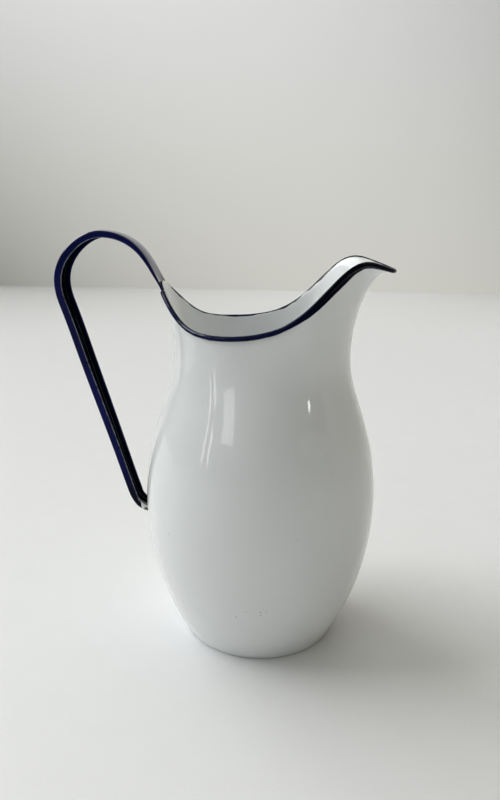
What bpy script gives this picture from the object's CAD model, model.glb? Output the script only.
"""Looks for the enamelled pitcher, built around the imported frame.

The frame and scene are in metres, +Z up, with the spout along +X and the handle on -X. Shapes are
worked out in millimetres. Bearings round the body are degrees from +X toward +Y.
"""
import math
import bpy
import numpy as np
from mathutils import Matrix, Vector


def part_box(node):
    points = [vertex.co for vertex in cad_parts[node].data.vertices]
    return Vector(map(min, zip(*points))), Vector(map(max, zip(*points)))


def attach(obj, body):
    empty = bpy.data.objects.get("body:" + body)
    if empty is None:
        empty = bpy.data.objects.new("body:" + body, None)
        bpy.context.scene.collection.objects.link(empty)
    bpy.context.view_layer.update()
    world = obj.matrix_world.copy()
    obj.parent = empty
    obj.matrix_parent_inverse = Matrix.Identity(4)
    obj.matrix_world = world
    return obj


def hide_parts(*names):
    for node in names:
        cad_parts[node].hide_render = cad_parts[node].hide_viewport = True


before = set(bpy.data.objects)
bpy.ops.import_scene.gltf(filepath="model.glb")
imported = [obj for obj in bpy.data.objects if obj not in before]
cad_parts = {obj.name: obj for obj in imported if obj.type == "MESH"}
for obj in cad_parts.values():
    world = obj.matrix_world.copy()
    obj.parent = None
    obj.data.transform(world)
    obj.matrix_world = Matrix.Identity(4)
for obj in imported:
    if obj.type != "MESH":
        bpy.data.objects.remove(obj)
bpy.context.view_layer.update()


# ------------------------------------------------------------------ driving sizes, millimetres
MM = 0.001           # one millimetre in metres
WALL = 1.1           # sheet thickness
BEAD_R = 1.45        # outer radius of the rolled rim
BEAD_END = 169.5     # bearing, either side, where the roll stops short of the handle
WIRE_R = 0.75
GAP = 0.05           # clearance between roll, wire and wall
SEAM_Z = 92.5        # where the two halves of the body meet
MOUTH_Z = 148.0      # above this the body departs from round
BODY_H = 208.3
LIP_FLARE = 7.0      # outward curl of the pouring edge
LIP_SPREAD = 34.4    # bearing over which that curl dies away
LIP_CURL_H = 1.6     # height over which it dies away below the edge

# fraction of BODY_H, outer radius
BODY_STATIONS = [
    (0, 50), (0.06, 56.9), (0.14, 64), (0.25, 70.6), (0.4, 75),
    (0.55, 73.8), (0.7, 66.6), (0.85, 57), (1, 56)]
THROAT_R = BODY_STATIONS[-1][1]

WAIST_R, WAIST_Z = 48.5, 208.0
BACK_R, BACK_Z = 63.7, 232.8
# bearing, radius, height of the roll's top; the two sides mirror each other
RIM_STATIONS = [
    (0, 80.2, 242.9),
    (20, 73.6, 246.6),
    (40, 67.3, 245.7),
    (60, WAIST_R + 9.0, WAIST_Z + 15.5),
    (90, WAIST_R, WAIST_Z),
    (120, WAIST_R + 3.7, WAIST_Z - 1.9),
    (150, WAIST_R + (BACK_R - WAIST_R) * 0.55, WAIST_Z + (BACK_Z - WAIST_Z) * 0.25),
    (180, BACK_R, BACK_Z)]

# bearing, reach of the navy coat down the outside below the roll
OUTER_REACH = [
    (0, 1.0), (5, 2.2), (10, 2.5), (20, 3.0), (25, 3.9), (30, 5.5), (35, 7.3), (40, 8.6),
    (45, 7.7), (50, 5.8), (55, 3.7), (65, 0.8), (75, 0.1), (90, 0.0), (120, 0.05), (180, 0.0)]
# bearing, reach of the navy coat past the innermost line of the roll (negative stops short)
INNER_REACH = [
    (0, 0.75), (10, 1.0), (20, 0.95), (25, 1.05), (30, 1.7), (35, 2.25), (40, 2.4),
    (45, 2.15), (50, 1.5), (55, 0.6), (60, -0.15), (70, -0.65), (80, -0.9), (90, -1.1),
    (105, -0.75), (120, -0.62), (135, -0.75), (150, -0.15), (165, 0.75), (180, 0.7)]
BARE = -9.0          # a paint_mm well outside the navy coat


# ------------------------------------------------------------------ curves and surfaces
class Spline:
    """Cubic spline of one table column over column 0, natural at the ends or clamped flat."""

    def __init__(self, table, column=1, clamped=False):
        table = np.asarray(table, float)
        x, y = table[:, 0], table[:, column]
        count = len(x)
        span = np.diff(x)
        slope = np.diff(y) / span
        system = np.zeros((count, count))
        target = np.zeros(count)
        for i in range(1, count - 1):
            system[i, i - 1:i + 2] = span[i - 1], 2 * (span[i - 1] + span[i]), span[i]
            target[i] = 6 * (slope[i] - slope[i - 1])
        if clamped:
            system[0, :2] = 2 * span[0], span[0]
            system[-1, -2:] = span[-1], 2 * span[-1]
            target[0], target[-1] = 6 * slope[0], -6 * slope[-1]
        else:
            system[0, 0] = system[-1, -1] = 1
        self.x, self.y, self.span = x, y, span
        self.bend = np.linalg.solve(system, target)

    def __call__(self, at):
        at = np.asarray(at, float)
        i = np.clip(np.searchsorted(self.x, at, side="right") - 1, 0, len(self.x) - 2)
        span = self.span[i]
        left = (self.x[i + 1] - at) / span
        right = 1 - left
        curve = (left**3 - left) * self.bend[i] + (right**3 - right) * self.bend[i + 1]
        return left * self.y[i] + right * self.y[i + 1] + curve * span * span / 6


body_spline = Spline([(fraction * BODY_H, radius) for fraction, radius in BODY_STATIONS])
throat_slope = float((body_spline(BODY_H) - body_spline(BODY_H - 0.01)) / 0.01)
rim_r_spline = Spline(RIM_STATIONS, column=1, clamped=True)
rim_z_spline = Spline(RIM_STATIONS, column=2, clamped=True)
outer_reach = Spline(OUTER_REACH)
inner_reach = Spline(INNER_REACH)


def unit(vectors):
    return vectors / np.linalg.norm(vectors, axis=-1, keepdims=True)


def ease(fraction):
    fraction = np.clip(fraction, 0, 1)
    return fraction * fraction * (3 - 2 * fraction)


def path_length(points):
    """Running length along each path of points, from 0."""
    steps = np.linalg.norm(np.diff(points, axis=-2), axis=-1)
    return np.concatenate([np.zeros_like(steps[..., :1]), np.cumsum(steps, -1)], -1)


def body_radius(z):
    """Outer radius of the round body; above BODY_H it runs on straight."""
    z = np.asarray(z, float)
    above = THROAT_R + throat_slope * (z - BODY_H)
    return np.where(z <= BODY_H, body_spline(np.minimum(z, BODY_H)), above)


def body_normal(z):
    """Outward normal of the round body as (radial, upward)."""
    slope = (body_radius(np.asarray(z) + 0.05) - body_radius(np.asarray(z) - 0.05)) / 0.1
    length = np.sqrt(1 + slope * slope)
    return 1 / length, -slope / length


def fold(bearing):
    """Bearing mirrored into 0 to 180."""
    return np.abs((np.asarray(bearing, float) + 180) % 360 - 180)


def rim_z(bearing):
    """Height of the centre of the roll."""
    return rim_z_spline(fold(bearing)) - BEAD_R


def mouth(bearing, rise):
    """Outer face of the shaped mouth; rise is 0 at MOUTH_Z and 1 at the centre of the roll."""
    bearing, rise = np.broadcast_arrays(np.asarray(bearing, float), np.asarray(rise, float))
    rim_height = rim_z(bearing)
    z = MOUTH_Z + (rim_height - MOUTH_Z) * rise
    flare = LIP_FLARE * np.exp(-(fold(bearing) / LIP_SPREAD) ** 2)
    angle = np.radians(bearing)
    power = 2.4 + 2.6 * np.cos(angle) ** 2      # the wall turns out latest at spout and back
    spread = rim_r_spline(fold(bearing)) - (BEAD_R - WALL) - body_radius(rim_height) - flare
    curl = flare * np.exp(-(rim_height - z) / LIP_CURL_H)
    radius = body_radius(z) + spread * np.maximum(0, rise) ** power + curl
    return np.stack([radius * np.cos(angle), radius * np.sin(angle), z], -1)


def mouth_normal(bearing, rise):
    around = mouth(bearing + 0.4, rise) - mouth(bearing - 0.4, rise)
    upward = mouth(bearing, rise + 0.001) - mouth(bearing, rise - 0.001)
    return unit(np.cross(around, upward))


def rim_up(bearing):
    """Direction up the wall at the roll, square to the rim."""
    tangent = unit(mouth(bearing + 0.4, 1.0) - mouth(bearing - 0.4, 1.0))
    return np.cross(mouth_normal(bearing, 1.0), tangent)


def roll_start(bearing):
    """Rise at which the plain wall ends under the roll."""
    step = mouth(bearing, 1.0) - mouth(bearing, 0.999)
    climb = (step * rim_up(bearing)).sum(-1) / 0.001
    return 1 - (BEAD_R + GAP) / climb


class RimFrame:
    """Centre, outward and upward directions of the roll at each bearing."""

    def __init__(self, bearing):
        self.outward, self.upward = mouth_normal(bearing, 1.0), rim_up(bearing)
        self.centre = mouth(bearing, 1.0) + self.outward * (BEAD_R - WALL)

    def point(self, radius, angle):
        """Point round the section; angle 0 is outward, pi/2 upward."""
        side = self.outward * radius * math.cos(angle)
        return self.centre + side + self.upward * radius * math.sin(angle)


def swell(points):
    """Shallow hand-formed unevenness, about 0.1 mm each way, that fades at the foot and rim."""
    x, y, z = points[..., 0], points[..., 1], points[..., 2]
    bearing = np.arctan2(y, x)
    waves = (0.040 * np.sin(3 * bearing + 0.031 * z + 0.7)
             + 0.030 * np.sin(5 * bearing - 0.045 * z + 2.1)
             + 0.018 * np.sin(0.21 * z + 1.3 * np.sin(2 * bearing))
             + 0.012 * np.sin(9 * bearing + 0.09 * z))
    return (waves - 0.1) * ease((z - 3) / 25) * ease((200 - z) / 60)


def swelled(points, normals):
    return points + normals * swell(points)[..., None]


# ------------------------------------------------------------------ mesh helpers
def add_piece(name, rings, attributes, material, replaces,
              looped=False, capped=False, sharp=35):
    """Skins rings (ring, point, xyz in mm), each a closed loop, and hands the piece to the frame."""
    ring_count, per_ring, _ = rings.shape
    rows = np.arange(ring_count if looped else ring_count - 1)
    row, point = np.meshgrid(rows, np.arange(per_ring), indexing="ij")
    here, ahead = row * per_ring, ((row + 1) % ring_count) * per_ring
    beside = (point + 1) % per_ring
    corners = [here + point, ahead + point, ahead + beside, here + beside]
    faces = np.stack(corners, -1).reshape(-1, 4).tolist()
    if capped:
        faces.append(list(range(per_ring)))
        faces.append([ring_count * per_ring - 1 - k for k in range(per_ring)])
    mesh = bpy.data.meshes.new(name)
    mesh.from_pydata((rings.reshape(-1, 3) * MM).tolist(), [], faces)
    mesh.validate()
    for key, values in attributes.items():
        attribute = mesh.attributes.new(key, "FLOAT", "POINT")
        attribute.data.foreach_set("value", np.asarray(values, np.float32).ravel())
    mesh.polygons.foreach_set("use_smooth", [True] * len(mesh.polygons))
    mesh.set_sharp_from_angle(angle=math.radians(sharp))
    mesh.update()
    piece = bpy.data.objects.new(name, mesh)
    bpy.context.scene.collection.objects.link(piece)
    piece.data.materials.append(material)
    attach(piece, "root")
    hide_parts(replaces)


def turned(profile, count):
    """Rings of a closed (radius, z) profile turned about Z, and each ring's radial direction."""
    angle = np.linspace(0, 2 * np.pi, count, endpoint=False)
    radial = np.stack([np.cos(angle), np.sin(angle), np.zeros(count)], -1)[:, None, :]
    rings = radial * profile[None, :, :1]
    rings[..., 2] = profile[:, 1]
    return rings, radial


# ------------------------------------------------------------------ shader helpers
class Nodes:
    """Builds one node tree. An input is given either a value or the socket to link to it."""

    def __init__(self, tree):
        self.tree = tree
        tree.nodes.clear()

    def add(self, kind, inputs=None, **settings):
        node = self.tree.nodes.new("ShaderNode" + kind)
        for key, value in settings.items():
            setattr(node, key, value)
        for key, value in (inputs or {}).items():
            if isinstance(value, bpy.types.NodeSocket):
                self.tree.links.new(value, node.inputs[key])
            else:
                node.inputs[key].default_value = value
        return node

    def math(self, operation, first, second=None):
        inputs = {0: first} if second is None else {0: first, 1: second}
        return self.add("Math", inputs, operation=operation).outputs[0]

    def plus(self, first, second):
        return self.math("ADD", first, second)

    def minus(self, first, second):
        return self.math("SUBTRACT", first, second)

    def times(self, first, second):
        return self.math("MULTIPLY", first, second)

    def largest(self, first, second):
        return self.math("MAXIMUM", first, second)

    def raised(self, value, base, gain):
        """base + value * gain"""
        return self.plus(base, self.times(value, gain))

    def dimmed(self, value, by, start=1.0):
        """start - value * by"""
        return self.minus(start, self.times(value, by))

    def centred(self, value, width):
        """A 0 to 1 value spread evenly either side of 0."""
        return self.times(self.minus(value, 0.5), width)

    def ramp(self, value, low, high):
        """0 below low, 1 above high, smooth between."""
        return self.add("MapRange", {0: value, 1: low, 2: high, 3: 0.0, 4: 1.0},
                        interpolation_type="SMOOTHSTEP", clamp=True).outputs[0]

    def fade(self, value, low, high):
        """1 below low, 0 above high, smooth between."""
        return self.minus(1.0, self.ramp(value, low, high))

    def mix(self, factor, first, second):
        inputs = {0: factor, 6: first, 7: second}
        return self.add("Mix", inputs, data_type="RGBA", blend_type="MIX").outputs[2]

    def noise(self, vector, scale, detail, roughness=0.5):
        inputs = {"Vector": vector, "Scale": scale, "Detail": detail, "Roughness": roughness}
        return self.add("TexNoise", inputs).outputs["Fac"]

    def attribute(self, name):
        return self.add("Attribute", attribute_name=name).outputs["Fac"]

    def split(self, vector):
        """The x, y and z sockets of a vector."""
        return self.add("SeparateXYZ", {0: vector}).outputs

    def position(self):
        return self.add("TexCoord").outputs["Object"]

    def distance(self, position, point):
        """Distance in metres from a point given in mm."""
        inputs = {0: position, 1: tuple(v * MM for v in point)}
        return self.add("VectorMath", inputs, operation="DISTANCE").outputs["Value"]

    def ball(self, position, point, radius):
        """1 near a point in mm, falling softly to 0 outside the radius."""
        away = self.distance(position, point)
        return self.fade(away, low=radius * 0.65 * MM, high=radius * 1.35 * MM)

    def bump(self, height, strength, distance):
        inputs = {"Strength": strength, "Distance": distance, "Height": height}
        return self.add("Bump", inputs).outputs[0]

    def finish(self, shader, kind="OutputMaterial"):
        self.add(kind, {0: shader.outputs[0]})


def new_material(name):
    material = bpy.data.materials.new(name)
    material.use_nodes = True
    return material, Nodes(material.node_tree)


# ------------------------------------------------------------------ enamel
GROUND_OUTSIDE = ((0.730, 0.748, 0.740, 1), (0.778, 0.792, 0.784, 1))
GROUND_INSIDE = ((0.935, 0.950, 0.948, 1), (0.955, 0.965, 0.960, 1))
GROUND_SPOUT = (0.72, 0.735, 0.73, 1)
IRON_SPECK = (0.10, 0.095, 0.09, 1)
GROUND_COAT = (0.13, 0.135, 0.135, 1)
NAVY_DEEP, NAVY_THIN = (0.0018, 0.0030, 0.026, 1), (0.0030, 0.0050, 0.050, 1)
HANDLE_DEEP, HANDLE_THIN = (0.0022, 0.0040, 0.044, 1), (0.0042, 0.0070, 0.078, 1)
NAVY_SPOUT = (0.0012, 0.0020, 0.0060, 1)
NAVY_POOLED = (0.0008, 0.0026, 0.0034, 1)
NAVY_LIP = (0.17, 0.18, 0.22, 1)
NAVY_BORDER = (0.015, 0.022, 0.10, 1)
WORN = (0.20, 0.20, 0.185, 1)
RUST = (0.035, 0.022, 0.014, 1)

# small pits and specks on the -Y side: x, y, z, radius in mm
SPECKS = [
    (-52.9, -53.3, 85.7, 0.45), (25.4, -70.8, 93.5, 0.35), (-44.6, -49.8, 38.0, 0.5),
    (-34.8, -57.0, 37.2, 0.4), (-37.0, -55.6, 38.4, 0.3), (-10.2, -66.5, 39.3, 0.5),
    (-9.0, -66.2, 37.6, 0.3), (-3.9, -68.5, 44.4, 0.35), (-5.6, -68.3, 43.6, 0.3),
    (4.6, -68.6, 44.6, 0.55), (4.9, -68.0, 41.8, 0.5), (8.0, -68.3, 44.4, 0.4),
    (6.2, -68.9, 47.0, 0.3), (-31.4, -58.4, 35.8, 0.3), (-29.0, -45.0, 14.0, 0.4),
    (-24.0, -47.5, 12.5, 0.35)]
DULL_PATCH = dict(point=(33.8, -57.4, 145.6), radius=9.5)    # mm, on the belly

# x, y, z, radius in mm, colour, strength
RIM_CHIPS = [(78.8, -2.5, 243.0, 4.6, WORN, 0.85), (75.5, -9.5, 243.6, 2.6, WORN, 0.5)]
MOUTH_CHIPS = [(78.8, -2.0, 241.6, 4.2, WORN, 0.7)]
HANDLE_CHIPS = [(-76.3, -7.6, 80.8, 1.9, RUST, 0.95)]


def coat_distance(net, pos):
    """Distance inside the navy coat in mm; its brushed edge wanders and has small steps."""
    paint = net.attribute("paint_mm")
    wander = net.centred(net.noise(pos, scale=190.0, detail=2.0), width=0.9)
    cells = net.add("TexVoronoi", {"Vector": pos, "Scale": 120.0})
    steps = net.centred(cells.outputs["Color"], width=0.25)
    return net.plus(net.plus(paint, wander), steps)


def speck_mask(net, pos):
    """Scattered iron specks in a few cells of a pattern, and the placed ones."""
    cells = net.add("TexVoronoi", {"Vector": pos, "Scale": 55.0, "Randomness": 1.0})
    cell_value = net.add("SeparateColor", {0: cells.outputs["Color"]}).outputs[0]
    rare = net.ramp(cell_value, low=0.955, high=0.975)
    mask = net.times(rare, net.fade(cells.outputs["Distance"], low=0.012, high=0.022))
    for x, y, z, radius in SPECKS:
        mask = net.largest(mask, net.ball(pos, (x, y, z), radius))
    return mask


def white_ground(net, pos, tone, specks):
    """White ground colour, and a mask of the pouring face, which has dulled."""
    inner = net.attribute("inner")
    outside = net.mix(tone, *GROUND_OUTSIDE)
    inside = net.mix(tone, *GROUND_INSIDE)
    x = net.split(pos)[0]
    spout = dict(low=0.038, high=0.066)     # x, metres
    pouring_face = net.times(inner, net.ramp(x, **spout))
    inside = net.mix(net.ramp(x, **spout), inside, GROUND_SPOUT)
    white = net.mix(inner, outside, inside)
    speck_strength, worn_strength = 0.45, 0.30
    white = net.mix(net.times(specks, speck_strength), white, IRON_SPECK)
    # worn to the grey ground coat along the edge the jug stands on
    worn = net.fade(net.split(pos)[2], low=0.00030, high=0.00105)
    return net.mix(net.times(worn, worn_strength), white, GROUND_COAT), pouring_face


def navy_coat(net, pos, inside_coat, deep, thin, spout_x, dark_foot):
    """Navy colour: bluer where brushed thin, darker where it lies thick."""
    thinness = net.noise(pos, scale=60.0, detail=2.0)
    navy = net.mix(net.ramp(thinness, low=0.3, high=0.75), deep, thin)
    if spout_x:       # thickest, nearly black, round the spout
        navy = net.mix(net.ramp(spout_x, low=-0.010, high=0.045), navy, NAVY_SPOUT)
    if dark_foot:     # it pools in the hollow of the strap and toward its foot
        z = net.split(pos)[2]
        pool = net.largest(net.attribute("hollow"), net.fade(z, low=0.083, high=0.112))
        pool_strength = 0.9
        navy = net.mix(net.times(pool, pool_strength), navy, NAVY_POOLED)
    lip = net.attribute("edge")
    patchy = net.ramp(net.noise(pos, scale=300.0, detail=3.0), low=0.25, high=0.6)
    navy = net.mix(net.times(lip, patchy), navy, NAVY_LIP)
    border_strength = 0.35
    border = net.times(net.fade(inside_coat, low=0.0, high=0.35), border_strength)
    return net.mix(border, navy, NAVY_BORDER)


def add_chips(net, pos, chips, color, roughness):
    chip_roughness, raggedness = 0.55, 1.1      # raggedness is a share of the chip's radius
    for x, y, z, radius, chip_color, strength in chips:
        ragged = net.noise(pos, scale=900.0, detail=3.0, roughness=0.65)
        away = net.distance(pos, (x, y, z))
        away = net.plus(away, net.centred(ragged, width=radius * raggedness * MM))
        mask = net.fade(away, low=radius * 0.75 * MM, high=radius * 1.1 * MM)
        mask = net.times(mask, strength)
        color = net.mix(mask, color, chip_color)
        roughness = net.largest(roughness, net.times(mask, chip_roughness))
    return color, roughness


def glaze_relief(net, pos, inside_coat, specks):
    """Orange peel, faint spinning rings, the step up onto the navy coat, and the specks' pits."""
    peel_h, ring_h, coat_h, pit_h = 0.008, 0.009, 0.06, 0.05      # mm
    stretch = (16.0, 16.0, 950.0)       # close in z, long round the body
    peel = net.noise(pos, scale=260.0, detail=2.0)
    stretched = net.add("VectorMath", {0: pos, 1: stretch}, operation="MULTIPLY").outputs[0]
    rings = net.noise(stretched, scale=1.0, detail=2.0, roughness=0.6)
    height = net.plus(net.times(peel, peel_h), net.times(rings, ring_h))
    coat = net.ramp(inside_coat, low=-0.2, high=0.35)
    height = net.plus(height, net.times(coat, coat_h))
    height = net.minus(height, net.times(specks, pit_h))
    return net.bump(height, strength=1.0, distance=MM)


def glaze_sheen(net, pos, navy_mask, pouring_face, spout_x):
    """Specular level, held back on the dark coat where it faces level or down."""
    normal = net.add("NewGeometry").outputs["Normal"]
    facing_up = net.ramp(net.split(normal)[2], low=0.0, high=0.55)
    navy = net.raised(facing_up, base=0.07, gain=0.58)
    if spout_x:       # held back again toward the spout and toward the handle
        toward_spout = net.ramp(spout_x, low=-0.012, high=0.022)
        navy = net.times(navy, net.dimmed(toward_spout, by=0.68, start=0.85))
        off_handle = net.ramp(spout_x, low=-0.055, high=-0.040)
        navy = net.times(navy, net.raised(off_handle, base=0.45, gain=0.55))
    white_level = 0.42
    sheen = net.plus(net.times(navy_mask, navy),
                     net.times(net.minus(1.0, navy_mask), white_level))
    sheen = net.times(sheen, net.dimmed(pouring_face, by=0.55))
    return net.times(sheen, net.dimmed(net.ball(pos, **DULL_PATCH), by=0.93))


def enamel(name, chips=(), deep=NAVY_DEEP, thin=NAVY_THIN, black_spout=False, dark_foot=False):
    """Glass enamel on steel: white ground, and navy overglaze where the mesh's paint_mm is above 0."""
    material, net = new_material(name)
    pos = net.position()
    inside_coat = coat_distance(net, pos)
    navy_mask = net.ramp(inside_coat, low=-0.12, high=0.12)
    tone = net.noise(pos, scale=22.0, detail=3.0, roughness=0.55)
    specks = speck_mask(net, pos)
    white, pouring_face = white_ground(net, pos, tone, specks)
    spout_x = net.split(pos)[0] if black_spout else None
    navy = navy_coat(net, pos, inside_coat, deep, thin, spout_x, dark_foot)
    color = net.mix(navy_mask, white, navy)
    roughness = net.raised(tone, base=0.025, gain=0.04)
    color, roughness = add_chips(net, pos, chips, color, roughness)
    relief = glaze_relief(net, pos, inside_coat, specks)
    sheen = glaze_sheen(net, pos, navy_mask, pouring_face, spout_x)
    net.finish(net.add("BsdfPrincipled", {
        "IOR": 1.52, "Base Color": color, "Specular IOR Level": sheen,
        "Roughness": roughness, "Normal": relief}))
    return material


def steel(name):
    material, net = new_material(name)
    grain = net.noise(net.position(), scale=400.0, detail=3.0)
    net.finish(net.add("BsdfPrincipled", {
        "Metallic": 1.0,
        "Base Color": net.mix(grain, (0.30, 0.28, 0.26, 1), (0.50, 0.49, 0.47, 1)),
        "Roughness": net.raised(grain, base=0.35, gain=0.2),
        "Normal": net.bump(grain, strength=0.4, distance=0.00005)}))
    return material


body_enamel = enamel("enamel_white_body")
rim_enamel = enamel("enamel_navy_rim", chips=RIM_CHIPS, black_spout=True)
mouth_enamel = enamel("enamel_mouth", chips=MOUTH_CHIPS, black_spout=True)
handle_enamel = enamel("enamel_navy_handle", chips=HANDLE_CHIPS, deep=HANDLE_DEEP,
                       thin=HANDLE_THIN, dark_foot=True)
wire_steel = steel("wire_steel")


# ------------------------------------------------------------------ lower half of the body
def lower_body():
    foot_z = 1.4        # top of the rounded foot
    z = np.concatenate([
        np.linspace(foot_z, 12, 24)[:-1], np.linspace(12, SEAM_Z - 0.6, 70),
        SEAM_Z - np.array([0.4, 0.2, 0.1, 0.04, 0.0])])
    radius = body_radius(z)
    outer = np.stack([radius, z], -1)
    inner = np.stack([radius - WALL / body_normal(z)[0], z], -1)[::-1]
    foot_r = float(body_radius(foot_z))
    flat_r = foot_r - 1.12              # outer edge of the flat the jug stands on
    foot = [(foot_r - WALL * 1.1 - 0.12, 0.0), (flat_r, 0.0)]
    foot += [(flat_r + 1.06 * math.sin(turn), 1.25 - 1.25 * math.cos(turn))
             for turn in np.linspace(0, np.pi / 2, 7)[1:]]
    rings, radial = turned(np.concatenate([np.array(foot), outer, inner]), 320)
    rings = swelled(rings, radial)
    inside = np.zeros(rings.shape[:2])
    inside[:, len(foot) + len(outer):] = 1.0
    add_piece("lower_body_enamel", rings,
              {"paint_mm": np.full(rings.shape[:2], BARE), "inner": inside},
              body_enamel, "lower_body", looped=True)


# ------------------------------------------------------------------ base pan
def base_pan():
    lift, crown = 5.0, 1.0      # height of the pan's underside at its edge, extra at its middle
    top_edge, top_round = 0.35, 0.5
    fillet = 1.2                # under the pan, where it meets the flange

    def fit_radius(z):
        return body_radius(z) - WALL / body_normal(z)[0] - 0.12

    flange_z = np.linspace(0.9, lift + WALL - 0.6, 14)
    flange = np.stack([fit_radius(flange_z), flange_z], -1)
    top_r = float(fit_radius(lift + WALL)) - top_edge
    shoulder = [(top_r + top_edge * math.cos(turn),
                 lift + WALL - top_round + top_round * math.sin(turn))
                for turn in np.linspace(0.2, math.pi / 2, 6)]
    inward = np.linspace(0, 1, 40)
    dome = lift + crown * ease(inward * 1.4)
    top = np.stack([top_r * (1 - inward) + 0.001, WALL + dome], -1)[1:]
    fillet_r = float(fit_radius(lift)) - WALL - fillet
    under = np.stack([fillet_r * (1 - inward) + 0.001, dome], -1)[::-1][:-1]
    corner = [(fillet_r + fillet * math.cos(turn), lift - fillet + fillet * math.sin(turn))
              for turn in np.linspace(math.pi / 2, 0, 8)]
    inside_z = np.linspace(0.5, lift - 1.3, 8)[::-1]
    inside = np.stack([fit_radius(inside_z + 0.3) - WALL, inside_z], -1)
    bottom_r = float(fit_radius(0.9))
    lip = [(bottom_r - WALL + 0.05, 0.12), (bottom_r - WALL + 0.2, 0.0), (bottom_r - 0.3, 0.0),
           (bottom_r - 0.08, 0.12), (bottom_r, 0.4)]
    rings, _ = turned(np.concatenate([lip, flange, shoulder, top, under, corner, inside]), 288)
    add_piece("base_pan_enamel", rings, {"paint_mm": np.full(rings.shape[:2], BARE)},
              body_enamel, "base_pan", looped=True)


# ------------------------------------------------------------------ upper half of the body
def upper_body():
    half = np.concatenate([
        np.linspace(0, BEAD_END - 0.1, 360), [BEAD_END + 0.1],
        np.linspace(BEAD_END, 180, 14)[1:-1]])
    bearings = np.concatenate([half, [180.0], 360 - half[:0:-1]])
    unrolled = fold(bearings) > BEAD_END        # behind the handle the edge is left plain

    # round part, from the seam to MOUTH_Z
    heights = np.concatenate([
        SEAM_Z + np.array([0.0, 0.04, 0.1, 0.2, 0.4]),
        np.linspace(SEAM_Z + 0.8, MOUTH_Z, 46)[:-1]])
    bearing, z = np.meshgrid(bearings, heights, indexing="ij")
    cos, sin = np.cos(np.radians(bearing)), np.sin(np.radians(bearing))
    radius = body_radius(z)
    radial, upward = body_normal(z)
    round_outer = np.stack([radius * cos, radius * sin, z], -1)
    round_normal = np.stack([radial * cos, radial * sin, upward], -1)
    round_inner = round_outer - round_normal * WALL
    seam_r = (radius - WALL / radial)[:, 0]
    round_inner[:, 0] = np.stack([seam_r * cos[:, 0], seam_r * sin[:, 0], z[:, 0]], -1)
    for k in range(1, 6):       # the first inner rows stay above the seam plane
        round_inner[:, k, 2] = np.maximum(round_inner[:, k, 2], SEAM_Z + 0.01 * k)

    # shaped part, from MOUTH_Z to the roll, with rows closing up toward the rim
    plain_top = 1 + BEAD_R * 0.55 / (rim_z(bearings) - MOUTH_Z)
    top_rise = np.where(unrolled, plain_top, roll_start(bearings))
    rise = (1 - (1 - np.linspace(0, 1, 96)) ** 1.7)[None, :] * top_rise[:, None]
    bearing = bearings[:, None] * np.ones_like(rise)
    mouth_outer = mouth(bearing, rise)
    normal = mouth_normal(bearing, rise)
    mouth_inner = mouth_outer - normal * WALL

    # top edge: rounded where it is plain, nearly flat under the roll
    middle = (mouth_outer[:, -1] + mouth_inner[:, -1]) / 2
    half_wall = (mouth_outer[:, -1] - mouth_inner[:, -1]) / 2
    tangent = unit(mouth(bearings + 0.3, 1.0) - mouth(bearings - 0.3, 1.0))
    edge_up = unit(np.cross(normal[:, -1], tangent)) * np.where(unrolled, WALL * 0.5, 0.03)[:, None]
    edge = np.stack([middle + half_wall * math.cos(turn) + edge_up * math.sin(turn)
                     for turn in np.linspace(0, math.pi, 8)[1:-1]], 1)

    normals = np.concatenate([round_normal, normal], 1)
    outer = swelled(np.concatenate([round_outer, mouth_outer], 1), normals)
    inner = swelled(np.concatenate([round_inner, mouth_inner], 1)[:, ::-1], normals[:, ::-1])

    below_top = path_length(outer[:, ::-1])[:, ::-1]
    outer_paint = outer_reach(fold(bearings))[:, None] - below_top
    inner_paint = inner_reach(fold(bearings))[:, None] - BEAD_R - path_length(inner)
    outer_paint[unrolled] = inner_paint[unrolled] = BARE
    edge_paint = np.repeat(np.where(unrolled, 0.4, -1.0)[:, None], edge.shape[1], 1)
    paint = np.concatenate([outer_paint, edge_paint, inner_paint], 1)
    inside = np.zeros(paint.shape)
    inside[:, outer.shape[1] + 3:] = 1.0
    add_piece("upper_body_enamel", np.concatenate([outer, edge, inner], 1),
              {"paint_mm": np.clip(paint, -9, 9), "inner": inside},
              mouth_enamel, "upper_body", looped=True)


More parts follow.
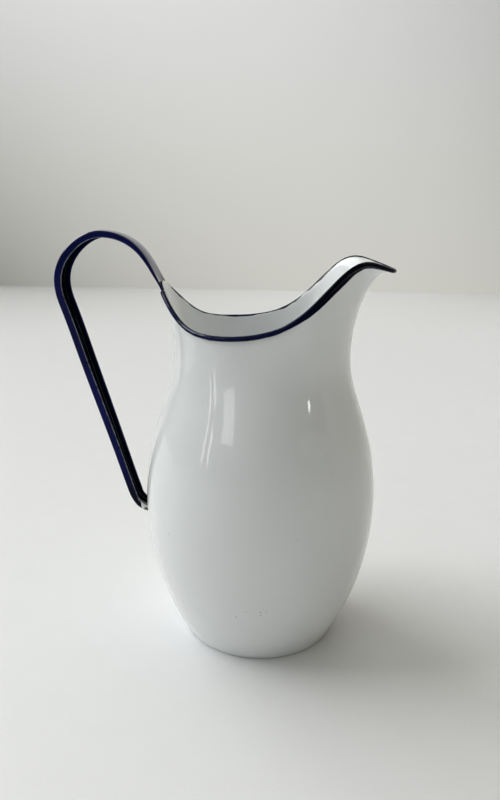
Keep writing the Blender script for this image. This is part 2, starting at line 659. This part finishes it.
# ------------------------------------------------------------------ rolled rim
def rim_bead():
    bearings = np.linspace(-BEAD_END + 0.2, BEAD_END - 0.2, 900)
    rim = RimFrame(bearings)
    start = roll_start(bearings)
    wall_outer = mouth(bearings, start) + rim.upward * 0.02
    wall_inner = wall_outer - mouth_normal(bearings, start) * WALL
    # the roll was closed by hand: its thickness and set vary slightly along the rim
    along = path_length(rim.centre)
    vary = (1 + 0.018 * np.sin(along * 0.11 + 1.0) + 0.012 * np.sin(along * 0.37 + 0.4)
            + 0.008 * np.sin(along * 0.9))[:, None]

    free_edge = -72         # section angle where the sheet ends
    bore_r = WIRE_R + GAP
    sheet_mid, sheet_half = (BEAD_R + bore_r) / 2, (BEAD_R - bore_r) / 2
    outside_angles = np.linspace(180, free_edge, 34)
    section = [rim.point(BEAD_R * vary, turn) + rim.outward * (BEAD_R * (vary - 1))
               for turn in np.radians(outside_angles)]
    for turn in np.linspace(0, math.pi, 7)[1:-1]:       # rounded free edge of the sheet
        angle = math.radians(free_edge) - math.sin(turn) * sheet_half / sheet_mid * 0.9
        section.append(rim.point(sheet_mid + sheet_half * math.cos(turn), angle))
    section += [rim.point(bore_r, turn) for turn in np.radians(np.linspace(free_edge, 236, 24))]
    section += [wall_outer, wall_inner]
    section = np.stack(section, 1)

    # rounded ends, closed over with enamel
    from_end = np.minimum(along, along[-1] - along)
    shrink = np.sqrt(np.clip(1 - (1 - np.clip(from_end / 1.5, 0, 1)) ** 2, 0.0, 1))
    shrink = np.maximum(shrink, 0.06)[:, None, None]
    core = (rim.centre - rim.outward * (BEAD_R - WALL / 2) * 0.55)[:, None, :]
    section = core + (section - core) * shrink

    # the coat covers the outside and the bore; inside the jug its edge follows INNER_REACH
    hidden = section.shape[1] - len(outside_angles) - 1
    angles = np.concatenate([outside_angles, np.full(hidden, -90.0), [180.0]])
    past_innermost = np.radians(angles - 180) * BEAD_R
    past_innermost[-1] = BEAD_R
    reach = inner_reach(fold(bearings))[:, None]
    wander = (0.22 * np.sin(along * 0.19) + 0.14 * np.sin(along * 0.53 + 1.0))[:, None]
    paint = reach + wander * np.clip(1.0 - reach * 0.3, 0.2, 1) - past_innermost
    paint = np.where(angles < 60, 3.0, paint)
    add_piece("rim_bead_enamel", section, {"paint_mm": paint, "inner": np.ones(paint.shape)},
              rim_enamel, "rim_bead", capped=True)


# ------------------------------------------------------------------ wire inside the roll
def rim_wire():
    rim = RimFrame(np.linspace(-BEAD_END + 1.6, BEAD_END - 1.6, 600))
    turns = -np.linspace(0, 2 * np.pi, 16, endpoint=False)
    section = np.stack([rim.point(WIRE_R - 0.03, turn) for turn in turns], 1)
    add_piece("rim_wire_steel", section, {"paint_mm": np.zeros(section.shape[:2])},
              wire_steel, "rim_wire", capped=True)


# ------------------------------------------------------------------ handle strap
STRAP_W, STRAP_FOOT_W = 19.0, 15.5
STRAP_D = 4.8           # depth of the U section
STRAP_T = 1.2           # sheet thickness
FOOT_Z = 79.2           # where the strap meets the belly
OUTSIDE, LIP, HOLLOW = 0, 1, 2      # zones round the strap's section


def back_face(z):
    """x of the back of the mouth, with a hair of clearance."""
    point = mouth(180.0, (z - MOUTH_Z) / (rim_z(180.0) - MOUTH_Z))
    return -float(np.linalg.norm(point[:2])) - 0.15


back_rim_z = float(rim_z(180.0))
# x, z along the middle of the strap's outer face, from the belly up and over to the rim
STRAP_SPINE = np.array([
    (-float(body_radius(FOOT_Z)) - 0.1, FOOT_Z), (-78.6, 80.3), (-82.6, 83), (-86.7, 88.7),
    (-89.8, 97), (-99.4, 128.1), (-109.1, 158.5), (-118.4, 188), (-126.2, 212.5),
    (-129.8, 224.4), (-130, 236.5), (-125.6, 247.6), (-117.4, 256.8),
    (-105.6, 262.9), (-93.6, 263), (-83, 259.1), (-74.6, 252.2), (-69, 243.6), (-65.6, 236.2),
    (back_face(back_rim_z - 1), back_rim_z - 1),
    (back_face(227.5), 227.5), (back_face(224.5), 224.5)])


def strap_section(half_w, depth):
    """(y, depth, zone) round the U: rounded outer corners and lips, one thickness throughout."""
    corner = 1.25 if depth > 2.4 else 0.55 + 0.7 * max(0.0, (depth - 1.3) / 1.1)
    corner = min(corner, depth * 0.9)
    inner_corner = max(0.25, corner - STRAP_T + 0.35)
    lip_r = min(STRAP_T / 2, 0.6)
    lip_d = max(depth - lip_r, corner + 0.02)
    inner_d = min(lip_d - 0.01, STRAP_T + inner_corner)
    floor_w = half_w - STRAP_T - inner_corner
    right = []
    for turn in np.radians(np.linspace(90, 0, 9)):      # outer corner, from face to side
        right.append((half_w - corner + corner * math.cos(turn),
                      corner - corner * math.sin(turn), OUTSIDE))
    for share in np.linspace(0, 1, 4)[1:]:
        right.append((half_w, corner + (lip_d - corner) * share, OUTSIDE))
    for turn in np.radians(np.linspace(0, 180, 9)[1:]):
        right.append((half_w - STRAP_T / 2 + STRAP_T / 2 * math.cos(turn),
                      lip_d + lip_r * math.sin(turn), LIP))
    for share in np.linspace(0, 1, 4)[1:]:
        right.append((half_w - STRAP_T, lip_d + (inner_d - lip_d) * share, HOLLOW))
    for turn in np.radians(np.linspace(0, 90, 7)[1:]):
        right.append((floor_w + inner_corner * math.cos(turn),
                      inner_d - (inner_d - STRAP_T) * math.sin(turn), HOLLOW))
    face_w = half_w - corner
    face = [(y, 0, OUTSIDE) for y in np.linspace(-face_w, face_w, 13)[1:-1]]
    inner = [(y, STRAP_T, HOLLOW) for y in np.linspace(floor_w, -floor_w, 9)[1:-1]]
    left = [(-y, deep, zone) for y, deep, zone in reversed(right)]
    return face + right + inner + left


def handle_strap():
    chord = path_length(STRAP_SPINE)
    length, rim_at = chord[-1], chord[-3]
    stations = np.column_stack([chord, STRAP_SPINE])
    spine_x, spine_z = Spline(stations, column=1), Spline(stations, column=2)

    def spine(at):
        return np.stack([spine_x(at), spine_z(at)], -1)

    along = np.concatenate([
        np.linspace(0, 24, 60)[:-1], np.linspace(24, length - 50, 240)[:-1],
        np.linspace(length - 50, length, 110)])
    middle = spine(along)
    tangent = unit(spine(np.minimum(length, along + 0.2)) - spine(np.maximum(0, along - 0.2)))
    outward = np.stack([-tangent[:, 1], tangent[:, 0]], -1)
    half_w = (STRAP_FOOT_W + (STRAP_W - STRAP_FOOT_W) * ease((along - 20) / 110)) / 2
    # the section deepens from the foot and flattens out toward the rim
    from_foot = 0.62 + 0.38 * ease(along / 14)
    from_rim = 1 - (1 - np.clip((rim_at + 1 - along) / 85, 0, 1)) ** 1.6
    depth = STRAP_T + 0.06 + (STRAP_D - STRAP_T) * from_foot * from_rim
    depth = depth - 0.8 * np.exp(-((along - 11.5) / 4.0) ** 2)   # creased where the foot bends
    # how far the long edges stand outward of the middle, and the crown that sets them back
    bow = 0.75 * ease((along - rim_at + 12) / 14) - 0.25 * (1 - ease((along - rim_at + 30) / 26))
    crown = 0.35 * ease((rim_at - 8 - along) / 14) * ease((along - 6) / 14)

    sections = np.array([strap_section(half_w[i], depth[i]) for i in range(len(along))])
    y, deep, zone = sections[..., 0], sections[..., 1], sections[..., 2]
    deep = deep - (bow - crown)[:, None] * (y / half_w[:, None]) ** 2
    rings = np.stack([middle[:, :1] - outward[:, :1] * deep, y,
                      middle[:, 1:] - outward[:, 1:] * deep], -1)

    # the foot is cut to the round of the belly, and the next rings are kept clear of it
    for i in range(12):
        belly_x = -np.sqrt((body_radius(rings[i, :, 2]) + 0.03) ** 2 - y[i] ** 2)
        rings[i, :, 0] = belly_x if i == 0 else np.minimum(rings[i, :, 0], belly_x - 0.02 * i)
    # the strap stays within the frame's box
    low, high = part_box("handle_strap")
    rings[..., 2] = np.minimum(rings[..., 2], high[2] * 1000)
    rings[..., 0] = np.maximum(rings[..., 0], low[0] * 1000)

    # at the foot, outside and on the -Y side, the navy stops short of the belly
    bare_w = 4.9
    belly = np.sqrt(np.maximum(1, body_radius(rings[..., 2]) ** 2 - y ** 2))
    bare_foot = (along[:, None] < 25) & (zone <= LIP) & (y < 2)
    paint = np.where(bare_foot, -rings[..., 0] - belly - bare_w, 4.0)
    edge = ((zone == LIP) & (y < 0)) * np.clip((rim_at - 12 - along[:, None]) / 30, 0, 1)
    add_piece("handle_strap_enamel", rings,
              {"paint_mm": np.clip(paint, -4, 4), "edge": edge, "hollow": zone == HOLLOW},
              handle_enamel, "handle_strap", capped=True, sharp=50)


lower_body()
base_pan()
upper_body()
rim_bead()
rim_wire()
handle_strap()


# ------------------------------------------------------------------ camera
def add_camera():
    place = math.radians(2.855)         # bearing of the camera from -Y toward +X
    heading = place + math.radians(0.988)
    pitch, roll = math.radians(14.726), math.radians(0.56)
    reach, height = 433.547, 270.962    # mm from the Z axis and above the table
    eye = Vector((reach * math.sin(place), -reach * math.cos(place), height)) * MM
    forward = Vector((-math.sin(heading) * math.cos(pitch),
                      math.cos(heading) * math.cos(pitch), -math.sin(pitch)))
    level = Vector((math.cos(heading), math.sin(heading), 0))
    upright = level.cross(forward)
    right = math.cos(roll) * level + math.sin(roll) * upright
    upward = -math.sin(roll) * level + math.cos(roll) * upright
    lens = bpy.data.cameras.new("camera")
    camera = bpy.data.objects.new("camera", lens)
    bpy.context.scene.collection.objects.link(camera)
    rows = [(right[i], upward[i], -forward[i], eye[i]) for i in range(3)]
    camera.matrix_world = Matrix((*rows, (0, 0, 0, 1)))
    lens.sensor_fit = "AUTO"
    lens.sensor_width = 36
    lens.lens = 31.045815
    lens.clip_start = 0.01
    lens.dof.use_dof = True
    lens.dof.focus_distance = 0.42
    lens.dof.aperture_fstop = lens.lens / 2.0
    bpy.context.scene.camera = camera


add_camera()

# ------------------------------------------------------------------ stage: pale table and wall
HALF_W = 3              # metres, as is the rest of this section
WALL_Y = 2.30
WALL_H = 1.25


def plane(name, corners, material):
    mesh = bpy.data.meshes.new(name)
    mesh.from_pydata(corners, [], [(0, 1, 2, 3)])
    board = bpy.data.objects.new(name, mesh)
    bpy.context.scene.collection.objects.link(board)
    mesh.materials.append(material)


def lit_table(name):
    """White painted board: faint mottle, fine grain, brightening softly out toward the wall."""
    material, net = new_material(name)
    pos = net.position()
    mottle = net.noise(pos, scale=30.0, detail=5.0, roughness=0.6)
    grain = net.noise(pos, scale=520.0, detail=3.0, roughness=0.6)
    x, y, _ = net.split(pos)
    glow_x, glow_w, glow_strength = 0.12, 0.85, 0.165
    offset = net.math("DIVIDE", net.minus(x, glow_x), glow_w)
    across = net.math("EXPONENT", net.times(net.times(offset, offset), -1.0))
    glow = net.times(net.times(across, net.ramp(y, low=0.70, high=2.45)), glow_strength)
    near = net.dimmed(net.ramp(y, low=-0.10, high=0.35), by=0.9)
    mottle_h, grain_h = 0.15, 0.5       # shares of the bump distance
    height = net.plus(net.times(mottle, mottle_h), net.times(net.times(grain, near), grain_h))
    net.finish(net.add("BsdfPrincipled", {
        "Base Color": net.mix(mottle, (0.788, 0.791, 0.790, 1), (0.824, 0.827, 0.826, 1)),
        "Roughness": 0.55, "Emission Color": (1.0, 1.0, 0.97, 1), "Emission Strength": glow,
        "Normal": net.bump(height, strength=0.6, distance=0.0004)}))
    return material


def lit_wall(name):
    """Pale wall whose brightness varies smoothly with x and height."""
    material, net = new_material(name)
    pos = net.position()
    x, _, z = net.split(pos)
    level = net.minus(z, 0.35)
    side = net.add("Clamp", {0: x, 1: -1.25, 2: 1.0}).outputs[0]
    # glow as a quadratic in side and level: the constant, then each term's coefficient
    glow = 0.475
    for term, coefficient in ((side, 0.0), (level, 0.11), (net.times(side, side), -0.128),
                              (net.times(side, level), -0.200), (net.times(level, level), 0.0)):
        glow = net.plus(glow, net.times(term, coefficient))
    glow = net.largest(glow, 0.0)
    tint = net.mix(net.ramp(z, low=0.0, high=1.1), (1.0, 0.990, 0.905, 1), (0.990, 0.998, 0.985, 1))
    emission = net.add("Emission", {0: tint, 1: glow})
    mottle = net.noise(pos, scale=3.0, detail=5.0, roughness=0.6)
    paint = net.mix(mottle, (0.29, 0.29, 0.285, 1), (0.31, 0.31, 0.305, 1))
    diffuse = net.add("BsdfDiffuse", {0: paint})
    net.finish(net.add("AddShader", {0: emission.outputs[0], 1: diffuse.outputs[0]}))
    return material


plane("floor", [(-HALF_W, -HALF_W, 0.0), (HALF_W, -HALF_W, 0.0),
                (HALF_W, WALL_Y, 0.0), (-HALF_W, WALL_Y, 0.0)], lit_table("table_white"))
plane("wall", [(-HALF_W, WALL_Y, 0.0), (HALF_W, WALL_Y, 0.0),
               (HALF_W, WALL_Y, WALL_H), (-HALF_W, WALL_Y, WALL_H)], lit_wall("wall_grey"))


# ------------------------------------------------------------------ world: window light
def sky_direction(azimuth, elevation):
    """Direction from degrees round from -X toward +Y, and degrees above the table."""
    around, above = math.radians(azimuth), math.radians(elevation)
    return (-math.cos(around) * math.cos(above), math.sin(around) * math.cos(above),
            math.sin(above))


# azimuth from, to; elevation from, to; edge softness; red, green, blue; only seen in the glaze
PANES = [
    (-15, 20, 25, 55, 2, (5.35, 5.40, 5.42), False),            # tall window on the -X side
    (20, 58, 22, 50, 2, (4.80, 4.90, 4.95), False),             # the same wall, toward +Y
    (-62, -49, 15.8, 24, 0.3, (3.0, 3.05, 3.1), False),         # pane of the front window
    (-38.3, -36.6, 5, 17, 0.25, (6.0, 6.05, 6.1), False),       # two thin gaps beside it
    (-31.5, -30.0, 5, 17, 0.25, (5.6, 5.65, 5.7), False),
    (-152.2, -149.2, 11.2, 14.4, 0.3, (15.0, 14.8, 14.2), False),   # small lamp, front right
    (-178, -70, -30, 9, 8, (0.30, 0.30, 0.30), False),          # pale room behind the camera
    (100, 190, -30, 35, 1.5, (0.50, 0.49, 0.44), True),         # pale curtain
    (-190, -173, -30, 35, 1.5, (0.50, 0.49, 0.44), True)]       # its end across the azimuth seam

# soft fill: direction, tightness, (red, green, blue)
FILLS = [
    ((0, 0.6, 1), 8, (1.12, 1.10, 1.02)),
    ((0.7, 0, 0.7), 6, (0.50, 0.47, 0.38)),
    (sky_direction(-30, 18), 12, (0.42, 0.42, 0.38)),
    (sky_direction(-30, 45), 12, (0.58, 0.64, 0.66)),
    (sky_direction(-60, 18), 12, (0.38, 0.39, 0.41)),
    (sky_direction(30, 18), 12, (0.48, 0.48, 0.56))]


def add_world():
    world = bpy.data.worlds.new("room")
    bpy.context.scene.world = world
    world.use_nodes = True
    net = Nodes(world.node_tree)
    toward = net.add("TexCoord").outputs["Generated"]
    x, y, z = net.split(toward)
    degrees = 180 / math.pi
    azimuth = net.times(net.math("ARCTAN2", y, net.times(x, -1.0)), degrees)
    elevation = net.times(net.math("ARCSINE", z), degrees)

    def band(value, start, end, soft):
        return net.times(net.ramp(value, low=start - soft, high=start + soft),
                         net.fade(value, low=end - soft, high=end + soft))

    # a mirror sees the panes in full but the soft fill only in part
    in_glaze = net.add("LightPath").outputs["Is Glossy Ray"]
    fill_share = net.dimmed(in_glaze, by=0.55)
    lights = []
    for left, right, bottom, top, soft, color, glaze_only in PANES:
        shape = net.times(band(azimuth, left, right, soft), band(elevation, bottom, top, soft))
        lights.append((net.times(in_glaze, shape) if glaze_only else shape, color))
    for direction, tightness, color in FILLS:
        facing = net.add("VectorMath", {0: toward, 1: Vector(direction).normalized()},
                         operation="DOT_PRODUCT").outputs["Value"]
        shape = net.math("POWER", net.largest(facing, 0.0), float(tightness))
        lights.append((net.times(shape, fill_share), color))
    total = None
    for shape, color in lights:
        light = net.add("VectorMath", {0: color, "Scale": shape}, operation="SCALE").outputs[0]
        if total is None:
            total = light
        else:
            total = net.add("VectorMath", {0: total, 1: light}, operation="ADD").outputs[0]
    net.finish(net.add("Background", {0: total, "Strength": 1.0}), "OutputWorld")


add_world()

view = bpy.context.scene.view_settings
view.view_transform = "Standard"
view.look = "None"
view.exposure = 0.0
